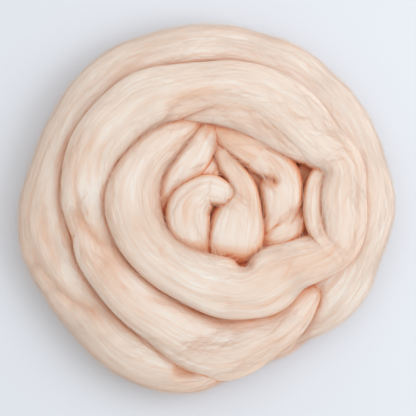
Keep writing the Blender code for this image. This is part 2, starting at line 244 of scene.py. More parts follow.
# The outermost turn, lowest of all. It starts and ends under the front folds.
outerTurn = {
    "name": "outerTurn",
    "strands": 8,          # strands that show round the band
    "relief": 1.0,         # depth of the valleys between them
    "twist": 14,           # degrees that they wind round it, for each 100 mm
    "around": 128,         # faces round the band
    "seed": 110,
    "outerPower": 2.5,     # the side that faces out is rounder
    # Painted shade along the band, at equal steps; below zero it is painted light, on the top and
    # right where the lamps fall.
    "shadeShift": (0.08, 0.1, 0.08, 0.0, -0.1, -0.12, -0.1, -0.06),
    "rows": (              # x and y, height of the top, width, depth, and degrees it banks outwards
        (65.5, -53.5, 18, 26, 21, 0), (40, -70, 29, 36, 31, 8), (26, -76.5, 32, 33, 34, 11),
        (12, -81.5, 34.5, 33, 36, 13), (-12.5, -90.5, 36, 38, 38, 12), (-34, -87.5, 36, 38.5, 38, 10),
        (-51, -78.5, 35, 38.5, 38, 8), (-67.5, -61, 32.5, 39.5, 36, 8),
        (-81.5, -42.5, 34, 39.5, 37, 8), (-92, -22, 34, 41.5, 37, 8), (-93, 1, 35.5, 38.5, 38, 8),
        (-88, 23, 37, 35, 39, 8), (-79, 45, 38, 36, 40, 8), (-66.5, 64.5, 38, 37, 40, 8),
        (-49, 80, 38, 37.5, 40, 8), (-32, 87, 38, 36, 40, 8), (-14, 91.5, 38, 36.5, 40, 8),
        (3.5, 92.5, 38, 36.5, 40, 8), (29, 87.5, 37, 35, 39, 8), (47.5, 80, 37, 36, 39, 8),
        (62, 67.5, 35.5, 35.5, 38, 8), (74.5, 54, 37, 34.5, 39, 10), (82.5, 38.5, 40, 36, 40, 12),
        (86.5, 24, 42, 37, 41, 14), (90, 2, 43, 39, 42, 14), (87, -13.5, 42, 37.5, 41, 14),
        (83, -27.5, 39.5, 36, 40, 12), (76.5, -43, 36, 37, 38, 10), (66.5, -54.5, 32.5, 37.5, 36, 8),
        (51, -62.5, 31.5, 36.5, 34, 8), (32, -72.5, 30, 34, 33, 5), (11, -81.5, 26, 28, 30, 0),
    ),
    "creases": (           # depth, half width, and the way of each in the plan
        (2.6, 4, ((-111, -3.5), (-103, -33), (-92, -47.5), (-81, -56), (-69.5, -61), (-57, -64))),
        (1.6, 4, ((-101.5, 5.5), (-98, -14), (-93.5, -24.5), (-88, -39.5))),
        (3, 3.5, ((65.5, -42.5), (63, -59), (60, -69.5), (51, -83.5))),
        (3.5, 5.5, ((-22, -96), (-15, -97), (-8, -97))),
    ),
}

# A crease that runs on from the turn under the front to the main one.
sharedCrease = (2.4, 3.4, ((-82, 4), (-76, -9), (-65, -19), (-54.5, -23)))

# The turn under the front, between the outer turn and the main one.
underTurnFront = {
    "name": "underTurnFront",
    "strands": 7, "relief": 0.9, "twist": 10, "around": 112, "seed": 210,
    "rows": (
        (-67, 8, 40, 24, 22, 0), (-66.5, -8, 43, 30, 27, 4), (-63.5, -22, 44, 34, 29, 4),
        (-56, -36, 45, 34, 31, 4), (-45, -49.5, 45, 36, 31, 6), (-29, -63, 43, 41, 32, 18),
        (-12, -73.5, 40.5, 47, 31, 21), (7.5, -79, 39, 47, 31, 22), (27, -72, 39, 40, 29, 18),
        (45, -61, 38, 31, 26, 8), (55, -50, 36.5, 24, 24, 4), (63, -38, 26, 16, 16, 0),
    ),
    "creases": (sharedCrease,),
}

# A short fold that comes out from under the main turn and spreads down to the left.
fanFold = {
    "name": "fanFold",
    "strands": 7, "relief": 1.0, "twist": -20, "around": 96, "seed": 310,
    "rows": (
        (63, -35.5, 22, 16, 14, 0), (59.5, -50, 35, 17, 24, 0), (50.5, -64.5, 35, 21, 27, 4),
        (35.5, -75, 33.5, 26, 28, 8), (18, -81.5, 30.5, 26, 26, 8), (2, -84, 25, 20, 20, 8),
    ),
}

# The longest run: it goes once round over the outer turn and on into the middle.
mainTurn = {
    "name": "mainTurn",
    "strands": 8, "relief": 1.0, "twist": 12, "around": 128, "seed": 410,
    # Painted shade along the band, at equal steps; below zero it is painted light.
    "shadeShift": (0.08, 0.0, -0.02, -0.1, -0.14, -0.02, 0.08, 0.16, 0.22),
    "rows": (
        (-42, -38, 24, 20, 18, 0), (-55, -29, 36, 26, 24, 0), (-63.5, -16, 42.5, 31, 27, 5),
        (-68, 2.5, 46, 37, 30, 8), (-68.5, 20, 49, 37, 31, 8), (-64, 35.5, 50, 37, 31, 8),
        (-52, 51, 51.5, 38, 32, 6), (-36, 63, 53, 38, 33, 4), (-18.5, 68.5, 54.5, 35, 33, 0),
        (-1, 72, 54.5, 32, 33, 0), (15.5, 72.5, 54.5, 32, 33, 0), (32, 67.5, 54.5, 32.5, 33, 2),
        (49, 55.5, 54, 34, 33, 6), (63.5, 39.5, 53.5, 31, 33, 9), (77.5, 24.5, 53, 28, 32, 10),
        (77.5, 6, 52.5, 32, 31, 9), (78, -8, 52, 31, 31, 9), (75, -20, 51.5, 29, 30, 8),
        (63.5, -27.5, 51.5, 29.5, 30, 5), (49.5, -33, 50, 34, 30, 3),
        (30, -44, 50, 41, 31, 3), (19.5, -47, 50, 37.5, 31, 3),
        (9.5, -46, 50, 39, 31, 3), (-11.5, -39, 51.5, 34, 31, 3), (-30.5, -25, 53, 33, 31, 3),
        (-42, -8, 54.5, 34, 31, 3), (-45, 10, 55.5, 35.5, 31, 3), (-37.5, 28, 54.5, 30.5, 30, 3),
        (-23.5, 42, 52, 24.5, 27, 0), (-11, 50, 47, 15, 22, 0), (-2, 57, 37, 10, 16, 0),
        (9, 60, 27, 8, 12, 0),
    ),
    "creases": (
        (7, 4.5, ((18.5, -26), (21, -29.5), (24.5, -28.5))),
        sharedCrease,
        (1.2, 3.4, ((-2.5, -52), (14, -57), (32, -57), (48.5, -50), (62, -42.5))),
        (1.4, 3.2, ((-26.5, 51.5), (-22, 59.5), (-15, 65), (-0.5, 68), (15.5, 69.5))),
    ),
}

# The inner half of the main turn at the back, which parts from it and dives on the right.
innerBack = {
    "name": "innerBack",
    "strands": 6, "relief": 0.7, "twist": 8, "around": 96, "seed": 510,
    # Painted light on this band: it takes painted shade away.
    "shadeShift": -0.08,
    "rows": (
        (-32, 45, 36, 9.5, 14, 0), (-23, 53.5, 46, 15.5, 20, -4), (-12, 59, 50, 18, 26, -6),
        (0, 60.5, 51.5, 20.5, 28, -8), (13, 60, 53, 25, 29, -8), (26, 56.5, 53.5, 28, 30, -6),
        (38, 50.5, 53, 30, 30, -3), (48.5, 43.5, 52.5, 29.5, 30, 0), (58.5, 38, 52, 25, 29, 3),
        (69, 34.5, 50.5, 19, 26, 4), (78, 33, 44, 13, 20, 0),
    ),
}

# A thin strand that folds down into the hollow on the right.
innerFold = {
    "name": "innerFold",
    "strands": 4, "relief": 0.5, "around": 72, "seed": 610,
    # Painted shade for this band.
    "shadeShift": 0.22,
    "rows": (
        (76, 33, 38, 8, 14, 0), (69, 26.5, 48.5, 10, 18, 0), (64, 17.5, 51, 12, 20, 0),
        (61.5, 5.5, 51.5, 13, 21, 0), (61.5, -3.5, 51.5, 13, 21, 0), (63.5, -12, 52, 12.5, 20, 0),
        (66.5, -18, 52, 12, 18, 0), (70, -22.5, 50.5, 12, 16, 0), (74, -26, 46, 10, 12, 0),
    ),
}

# A deep fold behind the middle, mostly in shade.
shadedFold = {
    "name": "shadedFold",
    "strands": 5, "relief": 0.5, "twist": 10, "around": 80, "seed": 710,
    # Painted shade along this fold, at equal steps.
    "shadeShift": (0.34, 0.34, 0.2, 0.2),
    "rows": (
        (-5.5, 57, 34, 11, 14, 0), (6, 49, 45, 20.5, 20, 0), (17.5, 41.5, 48.5, 26.5, 22, 0),
        (28, 35, 49.5, 26.5, 22, 0), (39, 29, 47, 21.5, 20, 0), (48.5, 22, 38, 12, 12, 0),
    ),
}

# The lobe right of the middle.
rightLobe = {
    "name": "rightLobe",
    "strands": 6, "relief": 0.6, "twist": -10, "around": 96, "seed": 810,
    # Painted shade for this band.
    "shadeShift": 0.2,
    "rows": (
        (9, 47.5, 30, 8.5, 12, 0), (18, 40, 41, 17, 20, 0), (27, 33.5, 48, 23, 24, 0),
        (35.5, 26, 50, 27, 27, 0), (41.5, 16, 51, 27.5, 28, 0), (43, 6.5, 51.5, 26.5, 28, 0),
        (42, -3, 50, 23, 27, 0), (39, -11.5, 45, 19, 22, 0), (35.5, -19, 32, 14.5, 14, 0),
    ),
    "creases": (
        (6, 2.4, ((22, 18.5), (28, 17), (34, 16.5), (42.5, 16))),
        (1.6, 3.2, ((54, 2.5), (49, -3.5), (42.5, -9), (34, -14))),
    ),
}

# The fold that crosses from the back down the left of the middle.
crossFold = {
    "name": "crossFold",
    "strands": 6, "relief": 0.6, "twist": 5, "around": 88, "seed": 910,
    # Painted shade along this band, at equal steps.
    "shadeShift": (0.2, 0.15, 0.22),
    "rows": (
        (3.5, 59.5, 28, 7, 12, 0), (2, 50.5, 42, 13, 18, 0), (-2.5, 41, 48.5, 18, 20, 0),
        (-9, 30.5, 50, 23, 22, 0), (-16, 20.5, 50, 24.5, 22, 0), (-23, 9.5, 48, 23, 21, 0),
        (-27, -1, 44, 17, 20, 0), (-30.5, -11, 34, 11, 14, 0),
    ),
}

# The back of the curl in the middle.
curlBack = {
    "name": "curlBack",
    "strands": 5, "relief": 0.5, "twist": 5, "around": 72, "seed": 1010,
    "rows": (
        (-20, -4, 36, 11, 16, 0), (-15, 5.5, 45, 18, 20, 0), (-8.5, 14, 48, 20, 20, 0),
        (-1, 21, 48, 17.5, 18, 0), (4, 28, 44, 11, 14, 0), (6.5, 34, 36, 6, 10, 0),
    ),
}

# The fall in the middle, which widens to the front.
centreFall = {
    "name": "centreFall",
    "strands": 7, "relief": 0.6, "around": 112, "seed": 1110,
    # Painted shade along this band, at equal steps.
    "shadeShift": (0.24, 0.22, 0.17, 0.24),
    "rows": (
        (3.5, 44, 38, 8.5, 14, 0), (7, 35.5, 46, 12, 18, 0), (11, 26.5, 49, 14.5, 22, 0),
        (15.5, 18.5, 50.5, 18, 24, 0), (19, 11.5, 51.5, 20, 25, 0), (19.5, 4.5, 52, 24.5, 26, 0),
        (18, -3, 52, 32.5, 27, 0), (16.5, -11, 51, 36.5, 27, 0), (15.5, -18.5, 48.5, 36.5, 25, 0),
        (15.5, -26, 40, 30, 20, 0), (17, -33, 30, 18, 14, 0),
    ),
    "creases": (
        (4, 2.2, ((4, 20), (8, 15), (11, 11), (14.5, 7))),
    ),
}

# The curl in the very middle, with its tip turned in.
centreCurl = {
    "name": "centreCurl",
    "strands": 6, "relief": 0.6, "twist": 12, "around": 104, "seed": 1210,
    # Painted shade for this band.
    "shadeShift": 0.15,
    "rows": (
        (-2.5, -34, 28, 13, 14, 0), (-7, -25, 42, 23, 22, 0), (-11, -15, 49.5, 26, 26, 0),
        (-12.5, -5.5, 53, 28, 27, 0), (-11, 2.5, 54.5, 27, 27, 0), (-5.5, 8.5, 54.5, 23.5, 26, 0),
        (0.5, 11.5, 54, 20.5, 24, 0), (6, 10.5, 53, 18, 21, 0), (11, 8, 51.3, 16, 18, 0),
        (15.5, 5, 48.5, 12, 14, 0), (19, 2, 43, 7, 9, 0),
    ),
}

# A fold that comes out from under the right lobe and runs round it to the front.
lobeFold = {
    "name": "lobeFold",
    "strands": 5, "relief": 0.5, "around": 80, "seed": 1610,
    # Painted shade for this band.
    "shadeShift": 0.22,
    "rows": (
        (57.5, 4, 36, 7, 14, 0), (54, -3, 45, 13, 18, 0), (48.5, -10, 48, 17, 20, 0),
        (41, -16, 47, 18, 20, 0), (33, -20.5, 40, 14.5, 18, 0), (27, -24.5, 28, 8.5, 12, 0),
    ),
}

# The wool at the bottom of the hollow on the right.
hollowFloor = {
    "name": "hollowFloor",
    "strands": 5, "relief": 0.5, "around": 64, "seed": 1710,
    "rows": (
        (65.5, 35.5, 32, 11, 12, 0), (60, 22, 40, 18, 16, 0), (57.5, 8.5, 42, 18, 16, 0),
        (57, -5.5, 42, 18, 16, 0), (59.5, -17.5, 40, 15.5, 16, 0), (63, -26, 32, 9.5, 12, 0),
    ),
}

bands = [
    outerTurn, underTurnFront, fanFold, mainTurn, innerBack, innerFold, shadedFold,
    rightLobe, lobeFold, crossFold, curlBack, centreFall, centreCurl, hollowFloor,
]

# The turns that carry the ones that show: a plain spiral.
underTurns = {
    "name": "underTurns",
    "strands": 9, "relief": 0.8, "twist": 6, "around": 56, "seed": 1310,
    "middle": (0, 0),
    "turns": 2.6,
    "rowsATurn": 12,
    "outerRadius": 76, "innerRadius": 6,
    "top": 27, "width": 38, "depth": 28,
}

# The same under the middle, higher up: it closes the hollows between the falls.
coreTurns = {
    **underTurns,
    "name": "coreTurns",
    "seed": 1410,
    "middle": (10, 8),
    "turns": 1.6,
    "outerRadius": 24,
    "top": 43, "width": 30, "depth": 22,
}


def spiralRows(turns):
    count = int(turns["turns"] * turns["rowsATurn"])
    rows = []
    for index in range(count + 1):
        share = index / count
        angle = -2 * np.pi * turns["turns"] * share
        radius = turns["outerRadius"] + (turns["innerRadius"] - turns["outerRadius"]) * share
        rows.append((turns["middle"][0] + radius * np.cos(angle),
                     turns["middle"][1] + radius * np.sin(angle),
                     turns["top"], turns["width"], turns["depth"], 0))
    return rows


def layGrid(band):
    # Where the grid's rows lie along the band, and its columns round it.
    quarter = np.linspace(0, 0.5 * np.pi, coil["endSteps"] + 1)
    first, last = band["endReach"]
    rows = max(4, int(band["length"] / coil["gridStep"]))
    body = np.linspace(0, band["length"], rows + 1)
    band["rowAlong"] = np.concatenate([-first * np.cos(quarter[:-1]), body,
                                       band["length"] + last * np.sin(quarter[1:])])
    turn = np.linspace(0, 1, band["around"] + 1)
    band["columnTurn"] = turn + coil["topShare"] / (2 * np.pi) * np.sin(2 * np.pi * turn)
    along, turn = np.meshgrid(band["rowAlong"], band["columnTurn"], indexing="ij")
    band["plainSkin"], band["plainOut"], _ = bandSkin(band, along, turn)


tuck = {
    "lower": 1.1,        # how far the lower of two bands gives way where they meet
    "lowerReach": 2.6,   # how far from the seam it starts to
    "upper": 0.4,
    "upperReach": 2.0,
    "fall": 1.5,         # more makes it start more suddenly
    "reaches": 3,        # past this many reaches it is nothing
    "ownStretch": 150,   # a band meets itself only past this far along
    "smoothing": 4,
    "flows": (0.04, 0.5),   # skins that meet this much out of line get no seam, and a full one
}


def meetingTree(band, low, high):
    # All other bands, and this one where it lies well before low or well after high.
    points, faces = [], []
    for other in bands:
        grid = other["plainSkin"][::2, ::2]
        rowAlong = other["rowAlong"][::2]
        rows, columns = grid.shape[:2]
        if other is band:
            clear = (rowAlong < low - tuck["ownStretch"]) | (rowAlong > high + tuck["ownStretch"])
        else:
            clear = np.ones(rows, bool)
        number = np.arange(rows * columns).reshape(rows, columns) + len(points)
        corners = np.stack([number[:-1, :-1], number[:-1, 1:], number[1:, 1:], number[1:, :-1]], -1)
        points += grid.reshape(-1, 3).tolist()
        faces += corners[clear[:-1] & clear[1:]].reshape(-1, 4).tolist()
    return BVHTree.FromPolygons(points, faces)


def giveWay(point, out, tree):
    # How far the skin gives way at a point, by how near the next band is, or if it lies inside it.
    near, normal, _, apart = tree.find_nearest(point)
    inside = (Vector(point) - near).dot(normal) < 0
    side = "lower" if inside or near.z > point[2] else "upper"
    turned = smoothStep(1 - normal.dot(Vector(out)), *tuck["flows"])
    apart = 0.0 if inside else apart
    reach = tuck[side + "Reach"]
    if apart >= tuck["reaches"] * reach:
        return 0.0
    return turned * tuck[side] * np.exp(-(apart / reach) ** tuck["fall"])


def tuckBand(band):
    rowAlong = band["rowAlong"]
    stretch = tuck["ownStretch"]
    grid = np.zeros(band["plainSkin"].shape[:2])
    for low in np.arange(0, band["length"], stretch):
        tree = meetingTree(band, low, low + stretch)
        mine = (rowAlong >= low) & (rowAlong < low + stretch)
        mine |= (rowAlong < 0) & (low == 0)
        mine |= (rowAlong >= band["length"]) & (low + stretch >= band["length"])
        places = band["plainSkin"][mine].reshape(-1, 3).tolist()
        outs = band["plainOut"][mine].reshape(-1, 3).tolist()
        found = [giveWay(point, out, tree) for point, out in zip(places, outs)]
        grid[mine] = np.reshape(found, grid[mine].shape)
    for _ in range(tuck["smoothing"]):
        padded = np.pad(grid, ((1, 1), (0, 0)), "edge")
        grid = 0.25 * padded[:-2] + 0.5 * grid + 0.25 * padded[2:]
        grid = 0.25 * np.roll(grid, 1, 1) + 0.5 * grid + 0.25 * np.roll(grid, -1, 1)
        grid[:, -1] = grid[:, 0]
    band["tuck"] = grid


def makeObject(name, data):
    thing = bpy.data.objects.new(name, data)
    scene.collection.objects.link(thing)
    return thing


def readPoints(mesh):
    flat = np.empty(len(mesh.vertices) * 3)
    mesh.vertices.foreach_get("co", flat)
    return flat.reshape(-1, 3)


def writeValues(mesh, name, values):
    # A named value at each of the mesh's points, for the materials.
    layer = mesh.attributes.new(name, "FLOAT", "POINT")
    layer.data.foreach_set("value", values.astype(np.float32).ravel())


def writeUv(mesh, name, places):
    layer = mesh.uv_layers.get(name) or mesh.uv_layers.new(name=name, do_init=False)
    layer.uv.foreach_set("vector", places.astype(np.float32).ravel())


def makeBand(band):
    # A flat grid, laid round the band, with its seam and its two ends closed.
    along, turn = band["rowAlong"], band["columnTurn"]
    columns, rows = len(turn) - 1, len(along) - 1
    bm = bmesh.new()
    bmesh.ops.create_grid(bm, x_segments=columns, y_segments=rows, size=1)
    mesh = bpy.data.meshes.new(band["name"])
    bm.to_mesh(mesh)
    flat = readPoints(mesh)
    column = np.rint((flat[:, 0] + 1) * 0.5 * columns).astype(int)
    row = np.rint((flat[:, 1] + 1) * 0.5 * rows).astype(int)
    alongAt, turnAt = along[row], turn[column]
    point, _, valley = bandSkin(band, alongAt, turnAt)
    point[:, :2] -= coil["middle"]
    point[:, 2] = np.maximum(point[:, 2], 0)
    mesh.vertices.foreach_set("co", (point * mm).astype(np.float32).ravel())
    writeValues(mesh, "valley", valley)
    # The fibre map is in metres: along the band, and round it.
    corner = np.empty(len(mesh.loops), np.int32)
    mesh.loops.foreach_get("vertex_index", corner)
    places = np.stack([alongAt[corner], turnAt[corner] * band["girth"]], axis=1)
    writeUv(mesh, "fibre", places * mm)
    # The bake map lays the band out in strips that fill the square.
    whole = along[-1] - along[0]
    strips = max(1, round(np.sqrt(whole / band["girth"])))
    share = ((alongAt - along[0]) / whole * strips)[corner].reshape(-1, 4)
    strip = np.clip(np.floor(share.mean(axis=1)), 0, strips - 1)[:, None]
    margin = coil["bakeMargin"]
    up = (strip + margin + (1 - 2 * margin) * turnAt[corner].reshape(-1, 4)) / strips
    writeUv(mesh, "OFBake", np.stack([share - strip, up], axis=-1))
    bm.clear()
    bm.from_mesh(mesh)
    bmesh.ops.remove_doubles(bm, verts=bm.verts, dist=1e-6)
    bmesh.ops.recalc_face_normals(bm, faces=bm.faces)
    bm.to_mesh(mesh)
    bm.free()
    mesh.shade_smooth()
    return makeObject(band["name"], mesh)


hiddenTurns = [underTurns, coreTurns]
for turns in hiddenTurns:
    turns["rows"] = spiralRows(turns)
for band in bands + hiddenTurns:
    readBand(band)
    layGrid(band)
for band in bands:
    tuckBand(band)
print("bands tucked")
pieces = {band["name"]: makeBand(band) for band in bands + hiddenTurns}
print("bands made:", len(pieces))


def joinedTree(things):
    # One search tree over several meshes.
    points, faces = [], []
    for thing in things:
        mesh = thing.data
        base = len(points)
        points += readPoints(mesh).tolist()
        faces += [[base + place for place in face.vertices] for face in mesh.polygons]
    return BVHTree.FromPolygons(points, faces)


shade = {
    "reach": 20.0,      # how far away wool still closes a place in
    "start": 0.5,       # how far off the skin the search starts
    "tilt": 52.0,       # the search looks straight out, and this far to each side
    "sides": 7,
    "steep": 0.9,       # past this, upright is no help to find the sides
    "slopeShade": 0.36,         # painted shade on skin that turns away from straight up
    "seamRange": (0.16, 0.75),   # places closed in this much lie near a seam
    "seamFacesUp": 0.1,
}


def skinDepth(point, tree):
    # How deep a place lies under the coil's skin, in mm: below zero is outside it.
    near, normal, _, apart = tree.find_nearest(point)
    return -apart / mm if (Vector(point) - near).dot(normal) > 0 else apart / mm


def closedIn(points, normals, tree):
    # How closed in each point is, from 0 in the open to 1 far down in a crease, by looking out for
    # wool: the mask of the painted crease shade.
    tilt = np.radians(shade["tilt"])
    helper = np.where(np.abs(normals[:, 2:]) < shade["steep"], (0.0, 0.0, 1.0), (1.0, 0.0, 0.0))
    side = unit(np.cross(normals, helper))
    other = np.cross(normals, side)
    starts = (points + normals * shade["start"] * mm).tolist()
    found = np.zeros(len(points))
    reach = shade["reach"] * mm
    turns = np.linspace(0, 2 * np.pi, shade["sides"], endpoint=False)
    leans = [side * np.cos(turn) + other * np.sin(turn) for turn in turns]
    looks = [normals] + [normals * np.cos(tilt) + lean * np.sin(tilt) for lean in leans]
    for directions in looks:
        ahead = [tree.ray_cast(start, direction, reach)[3]
                 for start, direction in zip(starts, directions.tolist())]
        apart = np.array([reach if hit is None else hit for hit in ahead])
        found += 1 - apart / reach
    return found / len(looks)


def nearestSection(table, points):
    # Which section lies nearest to each point in the plan.
    plan = table[:, :2] - coil["middle"]
    apart = np.linalg.norm(points[:, None, :2] / mm - plan[None], axis=2)
    return apart.argmin(axis=1)


def rememberSeams(band, points, paintedShade, normals):
    # The places on a band where a seam is near and shows from above, each with its way along.
    low, high = shade["seamRange"]
    near = (paintedShade > low) & (paintedShade < high) & (normals[:, 2] > shade["seamFacesUp"])
    places = points[near]
    band["shown"] = places, band["table"][nearestSection(band["table"], places), 3:6]


def shadeShiftAt(band, share):
    # Painted shade added within a band, from values at equal steps along it; below zero it is painted
    # light.
    shadeShift = np.atleast_1d(band.get("shadeShift", 0.0))
    return np.interp(share, np.linspace(0, 1, len(shadeShift)), shadeShift)


def nearestShare(band, points):
    # How far along a band each point lies, from 0 at its start to 1 at its end.
    table = band["table"][::coil["plainStep"]]
    return nearestSection(table, points) / len(table)


def shadeBand(band):
    # The band gets its painted shade attribute: how closed in each place is, more on slopes that turn
    # away from straight up, and the band's own painted shade. It also remembers where a seam shows on
    # it.
    mesh = pieces[band["name"]].data
    points = readPoints(mesh)
    normals = np.empty(points.size)
    mesh.vertex_normals.foreach_get("vector", normals)
    normals = normals.reshape(-1, 3)
    seen = np.array([skinDepth(point, cadTree) for point in points.tolist()]) < coil["skinReach"]
    paintedShade = np.ones(len(points))
    # Painted crease shade: how closed in each place is.
    paintedShade[seen] = closedIn(points[seen], normals[seen], coilTree)
    rememberSeams(band, points, paintedShade, normals)
    # More painted shade on slopes that turn away from straight up.
    paintedShade += shade["slopeShade"] * (1 - np.maximum(normals[:, 2], 0))
    # Each band's own painted shade; below zero it is painted light.
    if "shadeShift" in band:
        paintedShade += shadeShiftAt(band, nearestShare(band, points))
    writeValues(mesh, "paintedShade", paintedShade)


coilTree, cadTree = joinedTree(pieces.values()), joinedTree([cadCoil])
for band in bands + hiddenTurns:
    shadeBand(band)
print("creases shaded")

fibres = {
    "tries": 2.4,            # so many fibres are laid for each one that is kept
    "longest": 0.8,          # as a share of the band's length
    "turns": (0.14, 0.86),   # where they lie round a band, in turns from its underside
    "overrun": 3.0,          # how far they may run past a band's end
    "offTable": 0.8,         # the lowest that its middle line may come
    "lowest": 0.1,           # and the lowest that any of it may
    "bowMiddle": 0.2,        # a stray fibre bows about its own middle
    "taper": 0.6,            # less makes blunter tips
    "bakeMargin": 0.06,
}

locks = {
    "name": "fineLocks",
    "pieces": 3,
    "count": 9600,
    "seed": 77,
    "points": 9,             # places along a lock
    "length": (24, 62),
    "thickness": (0.07, 0.15),
    "lift": 0.02,            # how far a lock's middle line lies off the skin
    "wander": 1.4,           # how far it strays sideways
    "depth": 4.5,            # the deepest that it may lie under the coil's skin
    "varies": 0.3,           # how much the painted shade differs at random from one lock to the next
}

fuzz = {
    "name": "looseFuzz",
    "pieces": 1,
    "count": 2600,
    "seed": 78,
    "points": 7,
    "length": (8, 26),
    "thickness": (0.07, 0.12),
    "lift": 0.1,
    "rise": (0.8, 4.0),      # how far its tip stands off the skin
    "wander": 4.0,
    "depth": 4.5,
}

outlineFuzz = {
    **fuzz,
    "name": "outlineFuzz",
    "count": 4600,
    "seed": 81,
    "length": (7, 20),
    "thickness": (0.05, 0.11),
    "rise": (0.4, 3.2),
    "wander": 5.0,
    "bandsUsed": (outerTurn,),
    "turns": (0.05, 0.6),    # only on the side that faces out
}


def layFibres(kind):
    # Fibres along the bands, as one array of places: fibres, points, and x y z.
    random = np.random.default_rng(kind["seed"])
    used = kind.get("bandsUsed", bands)
    areas = [band["length"] * band["girth"] for band in used]
    shares = np.array(areas) / sum(areas)
    lines, outs, shadeShifts = [], [], []
    for band, share in zip(used, shares):
        count = int(kind["count"] * share * fibres["tries"])
        length = random.uniform(*kind["length"], count)
        length = np.minimum(length, fibres["longest"] * band["length"])
        middleAt = random.uniform(0, band["length"], count)
        turn = random.uniform(*kind.get("turns", fibres["turns"]), count)
        share = np.linspace(-0.5, 0.5, kind["points"])
        along = middleAt[:, None] + length[:, None] * share
        stray = random.normal(0, kind["wander"] / band["girth"], (count, 2))
        drift = stray[:, :1] * share + stray[:, 1:] * (2 * share**2 - fibres["bowMiddle"])
        drift -= band.get("twist", 0) / 360 * (along - middleAt[:, None]) / 100
        turns = turn[:, None] + drift
        point, normal, _ = bandSkin(band, along, turns)
        lift = np.full(along.shape, kind["lift"])
        if "rise" in kind:
            lift = lift + random.uniform(*kind["rise"], count)[:, None] * (share + 0.5) ** 2
        point = point + normal * lift[..., None]
        point[..., :2] -= coil["middle"]
        point *= mm
        keep = []
        for row, (start, *_, end) in zip(point, along):
            fits = start > -fibres["overrun"] and end < band["length"] + fibres["overrun"]
            fits = fits and row[:, 2].min() > fibres["offTable"] * mm
            depths = (skinDepth(place, cadTree) for place in row[::2].tolist())
            keep.append(fits and max(depths) < kind["depth"])
        keep = np.array(keep)
        lines.append(point[keep])
        outs.append(normal[keep])
        shadeShifts.append(shadeShiftAt(band, middleAt[keep] / band["length"]))
    line, out, shadeShift = np.concatenate(lines), np.concatenate(outs), np.concatenate(shadeShifts)
    chosen = random.permutation(len(line))[:kind["count"]]
    print(kind["name"], "fibres:", len(line), "kept:", len(chosen))
    return line[chosen], out[chosen], shadeShift[chosen], random


def fibreFaces(rings):
    # The faces of one fibre, and the place of each of their corners in its cell of the bake map.
    tail, tip, steps = 3 * rings, 3 * rings + 1, rings + 1
    faces, places = [], []
    for side in range(3):
        following = (side + 1) % 3
        low, high = side / 3, (side + 1) / 3
        faces.append((tail, following, side))
        places += [(0, low), (1 / steps, high), (1 / steps, low)]
        for step in range(rings - 1):
            near, far = 3 * step, 3 * step + 3
            faces.append((near + side, near + following, far + following, far + side))
            start, end = (step + 1) / steps, (step + 2) / steps
            places += [(start, low), (start, high), (end, high), (end, low)]
        last = 3 * (rings - 1)
        faces.append((last + side, last + following, tip))
        places += [(rings / steps, low), (rings / steps, high), (1, high)]
    return faces, places


def makeFibres(kind, name, line, out, shadeShift, random):
    # Thin closed tubes of three sides, one of them on top, which taper to a point at both ends.
    count, steps = line.shape[:2]
    rings = steps - 2
    way = unit(np.gradient(line, axis=1))
    side = unit(np.cross(way, out))
    up = np.cross(side, way)
    taper = np.sin(np.pi * np.linspace(0, 1, steps)) ** fibres["taper"]
    radius = 0.5 * random.uniform(*kind["thickness"], count)[:, None] * taper * mm
    tones = random.uniform(0, 1, count)
    angle = (-0.5 * np.pi + 2 * np.pi * np.arange(3) / 3)[:, None]
    turned = side[:, 1:-1, None] * np.cos(angle) + up[:, 1:-1, None] * np.sin(angle)
    ring = line[:, 1:-1, None] + radius[:, 1:-1, None, None] * turned
    points = np.concatenate([ring.reshape(count, -1, 3), line[:, :1], line[:, -1:]], axis=1)
    points[..., 2] = np.maximum(points[..., 2], fibres["lowest"] * mm)
    size = points.shape[1]
    shape, places = fibreFaces(rings)
    faces = [[base + corner for corner in face]
             for base in range(0, count * size, size) for face in shape]
    mesh = bpy.data.meshes.new(name)
    mesh.from_pydata(points.reshape(-1, 3).tolist(), [], faces)
    cells = int(np.ceil(np.sqrt(count)))
    cell = np.stack([np.arange(count) % cells, np.arange(count) // cells], axis=1)[:, None]
    margin = fibres["bakeMargin"]
    writeUv(mesh, "OFBake", (cell + margin + (1 - 2 * margin) * np.array(places)[None]) / cells)
    ends = line[:, [0, steps // 2, -1]]
    ways = out[:, [0, steps // 2, -1]]
    paintedShade = closedIn(ends.reshape(-1, 3), ways.reshape(-1, 3), coilTree).reshape(count, 3)
    # Painted shade for each fibre: its own share, and how closed in its ends and middle are.
    paintedShade = shadeShift[:, None] + paintedShade * kind.get("deepens", 1.0)
    paintedShade += kind.get("varies", 0.0) * (tones[:, None] - 0.5)
    share = np.linspace(0, 2, steps)
    lower = np.clip(np.floor(share).astype(int), 0, 1)
    alongLine = paintedShade[:, lower] + (paintedShade[:, lower + 1] - paintedShade[:, lower]) * (share - lower)
    value = np.concatenate([np.repeat(alongLine[:, 1:-1], 3, axis=1), alongLine[:, [0, -1]]], axis=1)
    writeValues(mesh, "paintedShade", value)
    writeValues(mesh, "tone", np.repeat(tones, size))
    return makeObject(name, mesh)


bridges = {
    "name": "bridgingHairs",
    "pieces": 1,
    "count": 1800,
    "seed": 79,
    "points": 7,
    "length": (8, 24),
    "thickness": (0.08, 0.16),
    "tries": 4,
    "turned": 35,            # degrees that a hair may lie across its band
    "lift": 0.4,
    "bend": 1.6,             # how far it bows sideways
    "dropped": 200,          # the height that they are dropped from, onto the coil
    "lowest": 8,             # a hair that reaches lower lies on the table
    "steepest": 5,           # and one with a step this high falls into a hollow
    "easings": 12,           # more of these stretch the hairs tighter over the seams
    # Painted crease shade that every hair gets, so that hairs over a seam take its colour.
    "shadeShift": 0.3,
    "deepens": 0.6,          # they lie above the seams, so they take less of the painted crease shade
}


def leftOf(flat):
    return np.stack([-flat[:, 1], flat[:, 0]], axis=1)


